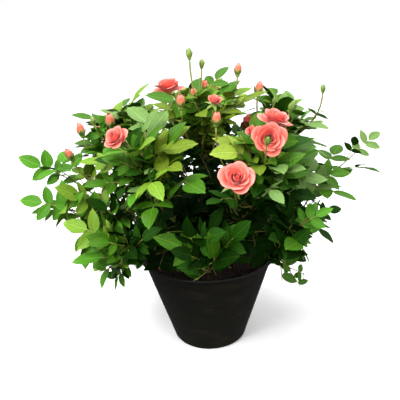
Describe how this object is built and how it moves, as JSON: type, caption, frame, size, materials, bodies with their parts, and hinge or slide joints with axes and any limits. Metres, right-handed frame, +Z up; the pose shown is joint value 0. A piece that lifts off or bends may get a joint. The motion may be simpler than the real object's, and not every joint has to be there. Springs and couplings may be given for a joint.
{
  "type": "potted rose bush",
  "caption": "Miniature rose bush in full leaf with open double blooms and buds, growing from a tapered dark plastic nursery pot filled with compost.",
  "frame": {"origin": "centre of the pot's flat underside, at ground level", "axes": "+Z up along the pot's axis, -Y towards the front of the plant, +X to the right seen from the front"},
  "size_m": [0.395, 0.3239, 0.3255],
  "materials": {
    "pot": "satin, near-black, faintly brushed",
    "compost": "rough, moist, fibrous",
    "wood": "bark, green-brown",
    "foliage": "satin leaf"
  },
  "bodies": {
    "root": {"pot": "pot", "compost": "compost", "stem": "wood", "cane_top": "wood", "cane_upper_1": "wood", "cane_upper_2": "wood", "cane_upper_3": "wood", "cane_upper_4": "wood", "cane_upper_5": "wood", "cane_outer_1": "wood", "cane_outer_2": "wood", "cane_outer_3": "wood", "cane_outer_4": "wood", "cane_outer_5": "wood", "cane_outer_6": "wood", "cane_outer_7": "wood", "cane_outer_8": "wood", "cane_outer_9": "wood", "foliage_top": "foliage", "foliage_upper_1": "foliage", "foliage_upper_2": "foliage", "foliage_upper_3": "foliage", "foliage_upper_4": "foliage", "foliage_upper_5": "foliage", "foliage_outer_1": "foliage", "foliage_outer_2": "foliage", "foliage_outer_3": "foliage", "foliage_outer_4": "foliage", "foliage_outer_5": "foliage", "foliage_outer_6": "foliage", "foliage_outer_7": "foliage", "foliage_outer_8": "foliage", "foliage_outer_9": "foliage"}
  },
  "joints": []
}
